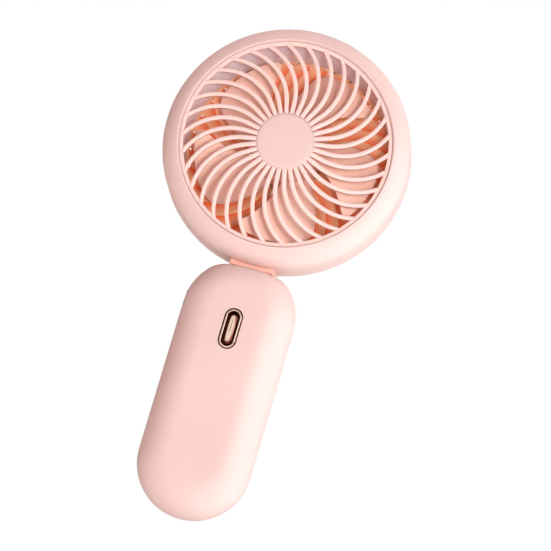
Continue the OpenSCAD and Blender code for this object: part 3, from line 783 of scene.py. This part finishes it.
def rear_grille():
    """The rear grille: curved slats, the rim and the motor's seat."""
    y0, y1 = REAR_HI.y - REAR_RIB_DEPTH, REAR_HI.y

    def section_at(r):
        """A slat's section at radius r; it leans less beside the motor's seat."""
        lean = REAR_RIB_LEAN * min(1.0, 0.2 + (r - REAR_SEAT_R) / 14)
        return leaning_section(REAR_RIB_WIDTH, y0, y1, lean)

    ribs = turned_ribs(REAR_SEAT_R - 1.0, 0, -1, lambda r: 0.0, section_at)
    inner, outer = MOUTH_R - 2.4, MOUTH_R - 0.3
    rim = lathe("rim", rounded([(inner, y0, 0.3), (outer, y0, 0.2), (outer, y1, 0.4), (inner, y1, 0.6)], 5))
    seat_r, seat_y = REAR_SEAT_R, REAR_LO.y
    dish = [(0, y1 - 0.35), (7.6, y1 - 0.35), (7.8, y1 - 0.28), (7.9, y1 - 0.1), (8.1, y1)]
    edge = [(seat_r - 0.8, y1), (seat_r - 0.4, y1 - 0.1), (seat_r - 0.1, y1 - 0.4), (seat_r, y1 - 0.8),
            (seat_r, y0 + 0.2), (seat_r - 0.2, y0)]
    collar = [(6.0, y0), (6.0, seat_y + 0.2), (5.8, seat_y), (4.0, seat_y), (4.0, y0 + 0.8), (0, y0 + 0.8)]
    seat = lathe("seat", dish + edge + collar)
    stand_for(join("rear_grille_ribs", [ribs, rim, seat]), "rear_grille")


def blade_surface(index, rows=22, columns=26):
    """Points and faces of one twisted, cambered blade with rounded edges."""
    sweep, half_angle = math.radians(13), math.radians(25)
    root_pitch, twist, flatten, camber = 30, 11, 0.93, 0.9
    root_thickness, thinning = 1.25, 0.4
    corner_r, corner_cut = 5.0, 0.42
    span = TIP_R - BLADE_ROOT_R
    turn = 2 * math.pi * index / BLADE_COUNT
    verts, faces = [], []
    for side in (-1, 1):
        for i in range(rows + 1):
            t = i / rows
            r = BLADE_ROOT_R + span * t
            corner = max(0.0, (r - TIP_R + corner_r) / corner_r)
            half = half_angle * math.sqrt(1 - corner_cut * corner ** 3)
            middle = sweep * (1 - 2 * (r - BLADE_ROOT_R) / span)
            pitch = math.radians(root_pitch - twist * t)
            for j in range(columns + 1):
                u = 2 * j / columns - 1
                a = middle + half * u
                across = r * math.sin(half * u)
                y = BLADE_MID_Y + across * math.tan(pitch) * flatten - camber * (1 - u * u)
                edge = min(1.0, (1 - abs(u)) * 9, (1 - t) * 14 + 0.02)
                thick = (root_thickness - thinning * t) * math.sqrt(max(0.04, 1 - (1 - edge) ** 2))
                y += side * thick / 2
                verts.append((r * math.cos(a + turn), y, HEAD_Z + r * math.sin(a + turn)))
    row = columns + 1
    half_count = (rows + 1) * row
    for s in (0, half_count):
        for i in range(rows):
            for j in range(columns):
                q = s + i * row + j
                face = (q, q + 1, q + row + 1, q + row)
                faces.append(face if s else face[::-1])
    border = [i * row for i in range(rows + 1)] + [rows * row + j for j in range(1, row)]
    border += [i * row + columns for i in range(rows - 1, -1, -1)] + list(range(columns - 1, 0, -1))
    for p, q in zip(border, border[1:] + border[:1]):
        faces.append((p, q, q + half_count, p + half_count))
    return verts, faces


def impeller():
    """The impeller: a rounded cup with its blades."""
    parts = []
    for k in range(BLADE_COUNT):
        verts, faces = blade_surface(k)
        parts.append(make_object("blade", verts, faces, 50))
    bore, back = 1.0, IMPELLER_HI.y
    cup = rounded([(bore, CUP_FRONT, 0.2), (CUP_R, CUP_FRONT, 1.6), (CUP_R, back, 0.25),
                   (CUP_INNER_R, back, 0.2), (CUP_INNER_R, CUP_FLOOR, 0.2), (bore, CUP_FLOOR, 0.1)], 7)
    parts.append(lathe("cup", cup, turns=128))
    stand_for(join("impeller_blades", parts, 50), "impeller")


# ---------- handle ----------

def grip_field(x, y, z, grow=0.0):
    """Signed distance to the handle's form, grown by grow, with a softened edge round its flat top."""
    rho = np.hypot(x, z - np.clip(z, *GRIP_LINE))
    u = rho - (GRIP_HALF_W - GRIP_EDGE_R)
    v = np.abs(y) - (GRIP_HALF_T - GRIP_EDGE_R)
    outside = np.hypot(np.maximum(u, 0), np.maximum(v, 0))
    round_edge = outside + np.minimum(np.maximum(u, v), 0) - GRIP_EDGE_R
    a, b = round_edge - grow, z - GRIP_TOP - grow
    blend = np.maximum(TOP_SOFTNESS - np.abs(a - b), 0) / TOP_SOFTNESS
    return np.maximum(a, b) + blend * blend * TOP_SOFTNESS / 4


def grip_hit(base_z, side, lift, grow):
    """Where rays from the handle's middle line, at angle lift out of its plane, leave its form."""
    dx, dz = side[0] * np.cos(lift), side[1] * np.cos(lift)
    dy = np.sin(lift)
    near, far = np.zeros_like(lift), np.full_like(lift, 40.0)
    for _ in range(42):
        mid = (near + far) / 2
        inside = grip_field(dx * mid, dy * mid, base_z + dz * mid, grow) < 0
        near = np.where(inside, mid, near)
        far = np.where(inside, far, mid)
    return np.stack([dx * near, dy * near, base_z + dz * near], -1)


def grip_stations():
    """Stations round the handle's outline: height on the middle line and direction outwards."""
    low, high = GRIP_LINE
    arc_steps, side_steps = 72, 34
    rows = [(high, math.pi * k / arc_steps) for k in range(arc_steps)]
    rows += [(high + (low - high) * k / side_steps, math.pi) for k in range(side_steps)]
    rows += [(low, math.pi + math.pi * k / arc_steps) for k in range(arc_steps)]
    rows += [(low + (high - low) * k / side_steps, 2 * math.pi) for k in range(side_steps)]
    return np.array([r[0] for r in rows]), np.array([r[1] for r in rows])


def grip_lift(base_z, side, y, grow):
    """The angle out of the plane at which each station's ray leaves the form at depth y."""
    low, high = np.full_like(base_z, -1.5), np.full_like(base_z, 1.5)
    for _ in range(36):
        mid = (low + high) / 2
        short = grip_hit(base_z, side, mid, grow)[:, 1] < y
        low = np.where(short, mid, low)
        high = np.where(short, high, mid)
    return (low + high) / 2


def grip_shell(name, front):
    """One half of the handle: outer surface, softened seam edge and inner surface."""
    base_z, angle = grip_stations()
    side = (np.cos(angle), np.sin(angle))
    sign = -1 if front else 1
    groove, gap = 0.16, 0.04
    seam = GRIP_SEAM + sign * gap
    pole = np.full_like(base_z, sign * math.pi / 2)
    rings = []
    outer_end = grip_lift(base_z, side, seam + sign * groove, 0.0)
    for t in np.linspace(0, 1, 44):
        rings.append(grip_hit(base_z, side, pole + (outer_end - pole) * t, 0.0))
    for grow, y in ((-0.05, seam + sign * 0.05), (-groove, seam), (-WALL, seam)):
        rings.append(grip_hit(base_z, side, grip_lift(base_z, side, y, grow), grow))
    inner_end = grip_lift(base_z, side, seam, -WALL)
    for t in np.linspace(1, 0, 22)[1:]:
        rings.append(grip_hit(base_z, side, pole + (inner_end - pole) * t, -WALL))
    n = len(base_z)
    verts = [tuple(p) for ring in rings for p in ring]
    faces = []
    for k in range(len(rings) - 1):
        for i in range(n):
            j = (i + 1) % n
            faces.append((k * n + i, k * n + j, (k + 1) * n + j, (k + 1) * n + i))
    return close_middle(make_object(name, verts, faces))


def close_middle(obj):
    """Closes the slit along the middle line, where stations of both sides meet, and drops doubles."""
    bm = bmesh.new()
    bm.from_mesh(obj.data)
    bmesh.ops.remove_doubles(bm, verts=bm.verts, dist=2e-6)
    bmesh.ops.dissolve_degenerate(bm, dist=1e-7, edges=bm.edges)
    bmesh.ops.holes_fill(bm, edges=bm.edges, sides=0)
    bmesh.ops.recalc_face_normals(bm, faces=bm.faces)
    bm.to_mesh(obj.data)
    bm.free()
    shade(obj)
    return obj


def grip_tools(front):
    """What is cut from a half of the handle: room for hinge and leads, then its own openings."""
    tools = [knuckle_tool(), box_tool((-LEAD_SLOT_HALF, 3, 49), (LEAD_SLOT_HALF, 5.3, 53))]
    if front:
        usb_lo, usb_hi = box_of("usb_shell")
        usb_y, usb_z = (usb_lo.y + usb_hi.y) / 2, (usb_lo.z + usb_hi.z) / 2
        tools.append(slot_tool(*BUTTON_HOLE, -20, -8, BUTTON_Z))
        socket = slot_tool(*SOCKET_HOLE, -14, 14, 0)
        turn = Matrix.Rotation(math.radians(90), 4, "Z")
        socket.data.transform(Matrix.Translation(Vector((-22, usb_y, usb_z)) * MM) @ turn)
        tools.append(socket)
        tools += [rod_tool((x, -2, 49), (x, -2, 54), 1.7) for x in (-HINGE_SCREW_X, HINGE_SCREW_X)]
    else:
        tools += [box_tool((x, 4.8, 46), (x + 5.5, 13, HINGE_Z)) for x in (-9.5, 4.0)]
        tools += [rod_tool((x, 6, z), (x, 20, z), 1.8) for x, z in GRIP_SCREWS]
    return tools


def handle_shells():
    """The front and rear halves of the handle."""
    front = cut(grip_shell("handle_front_half", True), grip_tools(True))
    rear = cut(grip_shell("handle_rear_half", False), grip_tools(False))
    bosses = [boss(x, z, outer=2.5, bore=1.0, counterbore=1.82, front=GRIP_SEAM + 0.1, back=9.6, seat=8.0)
              for x, z in GRIP_SCREWS]
    rear = join("handle_rear_half", [rear] + bosses)
    pillars = []
    for x, z in GRIP_SCREWS:
        profile = [(0.8, GRIP_SEAM), (2.3, GRIP_SEAM), (2.5, GRIP_SEAM - 0.2), (2.5, -6.4), (0.8, -6.4)]
        pillars.append(lathe("pillar", profile, x, z, 40))
    for x in (-BOARD_SCREW_X, BOARD_SCREW_X):
        profile = [(0.7, -5.2), (1.7, -5.2), (1.8, -5.3), (1.8, -12), (0.7, -12)]
        pillars.append(lathe("pillar", profile, x, BOARD_SCREW_Z, 32))
    front = join("handle_front_half", [front] + pillars)
    stand_for(front, "handle_front_shell")
    stand_for(rear, "handle_rear_shell")


def button():
    """The plated bezel and the plated push button inside it."""
    skin = -GRIP_HALF_T
    bezel = [(r, skin - rise) for r, rise in (
        (3.75, -0.02), (3.72, 0.04), (3.3, 0.14), (3.16, 0.3), (3.08, 0.44), (2.95, 0.53), (2.8, 0.56),
        (2.65, 0.54), (2.52, 0.45), (2.44, 0.28), (2.4, -0.1), (2.4, -1.9), (3.1, -1.9), (3.1, -0.02))]
    stand_for(pill_sweep("button_bezel_ring", bezel, BUTTON_HALF, BUTTON_Z, 32, 60), "button_bezel")
    top, crown_r, crown = skin - 0.44, 2.08, 1.05
    cap = [(r, top + crown * (1 - math.sqrt(1 - (r / crown_r) ** 2)))
           for r in (0.0, 0.5, 1.0, 1.35, 1.65, 1.85, 1.95, 2.02, 2.065, crown_r)]
    cap += [(crown_r, skin + 2.1), (2.95, skin + 2.1), (2.95, skin + 2.9), (0.0, skin + 2.9)]
    face = pill_sweep("face", cap, BUTTON_HALF, BUTTON_Z, 32, 60)
    for vert in face.data.vertices:
        if vert.co.y < (skin + 0.8) * MM:
            vert.co.y += 0.1 * MM * ((vert.co.z / MM - BUTTON_Z) / BUTTON_HALF) ** 2
    stem = lathe("stem", [(0, skin + 2.5), (1.4, skin + 2.5), (1.4, -7.75), (1.3, -7.7), (0, -7.7)],
                 0, BUTTON_Z, 40)
    stand_for(join("power_button_cap", [face, stem], 60), "power_button")


# ---------- parts that keep their CAD shape ----------

def welded(node):
    """A CAD node's object, with its doubled points joined by a modifier."""
    obj = frame["nodes"][node]
    weld = obj.modifiers.new("weld", "WELD")
    weld.merge_threshold = 1e-6
    return obj


def soften(node, width, segments=2):
    """Rounds the edges of a CAD node a little."""
    obj = welded(node)
    bevel = obj.modifiers.new("edges", "BEVEL")
    bevel.width = width * MM
    bevel.segments = segments
    bevel.limit_method = "ANGLE"
    bevel.angle_limit = math.radians(40)
    bevel.harden_normals = True


def round_leads(node):
    """Turns a lead's flat sides into a round one."""
    smooth = welded(node).modifiers.new("smooth", "SUBSURF")
    smooth.levels = smooth.render_levels = 2


def finish_cad_nodes():
    """Materials on every CAD node, and softened edges where they can be seen."""
    for node, obj in frame["nodes"].items():
        material = MATERIALS[SLOT_OF[node]]
        for slot in obj.material_slots:
            slot.material = material
        if not obj.material_slots:
            obj.data.materials.append(material)
    soften("neck_saddle", 0.8, 5)
    for node, width in (("neck_bracket", 0.2), ("hinge_base", 0.2), ("hinge_caps", 0.25),
                        ("head_screws", 0.12), ("handle_screws", 0.12), ("usb_shell", 0.06),
                        ("usb_tongue", 0.1)):
        soften(node, width)
    for node in ("motor_leads", "fan_leads", "battery_leads"):
        round_leads(node)


# ---------- studio ----------

CAMERA_TURN = 6.74       # degrees to the object's right
CAMERA_RISE = -13.2      # degrees above the horizon
CAMERA_ROLL = 16.45      # degrees that the object leans to the right in the picture
CAMERA_DISTANCE = 1500.0
PICTURE_WIDTH = 220.4    # width of the picture at the object
AIM = Vector((0.0, 0.0, 52.8))
AIM_RIGHT = 9.33         # how far the picture's middle lies right of the aim point
AIM_UP = -2.28
DARK_SPOT = (-0.12, -0.966, 0.228)   # direction of a dark spot in the surround, which the button mirrors


def look_at(obj, target):
    """Points a light at a place in millimetres."""
    obj.rotation_euler = (Vector(target) * MM - obj.location).to_track_quat("-Z", "Y").to_euler()


def camera():
    """The camera, below the object and a little to its right, rolled so that the object leans."""
    a, e, roll = (math.radians(v) for v in (CAMERA_TURN, CAMERA_RISE, CAMERA_ROLL))
    back = Vector((math.sin(a) * math.cos(e), -math.cos(a) * math.cos(e), math.sin(e)))
    level = Vector((math.cos(a), math.sin(a), 0))
    up = back.cross(level)
    right = level * math.cos(roll) + up * math.sin(roll)
    top = up * math.cos(roll) - level * math.sin(roll)
    data = bpy.data.cameras.new("camera")
    data.sensor_width = 36
    data.lens = data.sensor_width * CAMERA_DISTANCE / PICTURE_WIDTH
    data.clip_start, data.clip_end = 0.05, 50
    obj = bpy.data.objects.new("camera", data)
    place = (AIM + back * CAMERA_DISTANCE + right * AIM_RIGHT + top * AIM_UP) * MM
    axes = Matrix((right, top, back)).transposed()
    obj.matrix_world = Matrix.Translation(place) @ axes.to_4x4()
    bpy.context.scene.collection.objects.link(obj)
    bpy.context.scene.camera = obj


def area_light(name, place, target, size, power, colour, mirrored=True):
    """A soft square light; places in millimetres, size in metres. It may be left out of reflections."""
    data = bpy.data.lights.new(name, "AREA")
    data.shape = "SQUARE"
    data.size = size
    data.energy = power
    data.color = colour
    obj = bpy.data.objects.new(name, data)
    obj.location = Vector(place) * MM
    obj.visible_glossy = mirrored
    bpy.context.scene.collection.objects.link(obj)
    look_at(obj, target)


def sun_light(name, direction, strength, colour):
    """A soft light from far off in a direction, left out of reflections."""
    data = bpy.data.lights.new(name, "SUN")
    data.energy = strength
    data.color = colour
    data.angle = math.radians(30)
    obj = bpy.data.objects.new(name, data)
    obj.location = Vector(direction)
    obj.visible_glossy = False
    bpy.context.scene.collection.objects.link(obj)
    look_at(obj, (0, 0, 0))


def world():
    """White to the camera; a dimmer surround lights the object, darker at its sides in reflections."""
    surround = bpy.data.worlds.new("studio")
    bpy.context.scene.world = surround
    surround.use_nodes = True
    tree = surround.node_tree
    tree.nodes.clear()
    add, link = adder(tree), tree.links.new
    rays = add("ShaderNodeLightPath")
    direction = add("ShaderNodeTexCoord").outputs["Generated"]
    split = add("ShaderNodeSeparateXYZ")
    link(direction, split.inputs[0])
    band = add("ShaderNodeValToRGB")
    stops = [(0.0, 1.0), (0.1, 0.9), (0.16, 0.10), (0.5, 0.04), (0.8, 0.4), (1.0, 0.6)]
    for place, _ in stops[1:-1]:
        band.color_ramp.elements.new(place)
    for stop, (_, value) in zip(band.color_ramp.elements, stops):
        stop.color = (value, value * 0.93, value * 0.9, 1)
    link(remap(add, link, split.outputs["Y"], 0.0, 1.0, -1.0, 1.0), band.inputs["Fac"])
    away = add("ShaderNodeVectorMath", operation="DISTANCE")
    away.inputs[1].default_value = DARK_SPOT
    link(direction, away.inputs[0])
    mirrored = add("ShaderNodeBackground")
    link(band.outputs["Color"], mirrored.inputs["Color"])
    link(remap(add, link, away.outputs["Value"], 0.03, 1.0, 0.05, 0.075), mirrored.inputs["Strength"])
    ambient = add("ShaderNodeBackground", Color=(1.0, 0.5, 0.4, 1), Strength=0.2)
    seen = add("ShaderNodeBackground", Color=(1, 1, 1, 1))

    def mixed(ray, other, own):
        """The shader own for rays of one kind and other for the rest."""
        node = add("ShaderNodeMixShader")
        link(rays.outputs[ray], node.inputs["Fac"])
        link(other.outputs[0], node.inputs[1])
        link(own.outputs[0], node.inputs[2])
        return node

    surface = mixed("Is Camera Ray", mixed("Is Glossy Ray", ambient, mirrored), seen)
    link(surface.outputs[0], add("ShaderNodeOutputWorld").inputs["Surface"])


def studio():
    """Floor, lights, surround and camera."""
    size, drop = 6000, -700
    floor = make_object("floor", [(-size, -size, drop), (size, -size, drop), (size, size, drop),
                                  (-size, size, drop)], [(0, 1, 2, 3)])
    material, add, link, shader = new_material("pale_floor")
    coords = add("ShaderNodeTexCoord").outputs["Object"]
    clouds = noise(add, link, coords, 3.0)
    tint = mix_colour(add, link, clouds, (0.64, 0.63, 0.62, 1), (0.68, 0.67, 0.66, 1))
    link(tint, shader.inputs["Base Color"])
    shader.inputs["Roughness"].default_value = 0.8
    floor.data.materials.append(material)
    middle = (0, 0, 60)
    area_light("front_fill", (230, -860, -90), middle, 0.16, 6.0, (0.96, 0.985, 0.99), False)
    area_light("key", (660, -600, 300), middle, 0.45, 1.7, (0.95, 1.0, 1.0))
    area_light("right_rim", (760, 60, 60), middle, 0.5, 5.2, (0.86, 1.0, 1.0), False)
    area_light("left_rim", (-620, 520, 160), middle, 0.5, 0.9, (1.0, 0.8, 0.74), False)
    area_light("warm_left", (-620, -160, 20), middle, 0.5, 0.3, (1.0, 0.35, 0.22), False)
    sun_light("above", (-0.1, 0.18, 0.98), 2.4, (1.0, 0.98, 0.97))
    sun_light("behind", (0.05, 1.0, 0.25), 1.8, (1.0, 0.98, 0.97))
    world()
    camera()
    bpy.context.scene.view_settings.view_transform = "Standard"


finish_cad_nodes()
head_casings()
front_grille()
hub_cap()
rear_grille()
impeller()
handle_shells()
button()
studio()
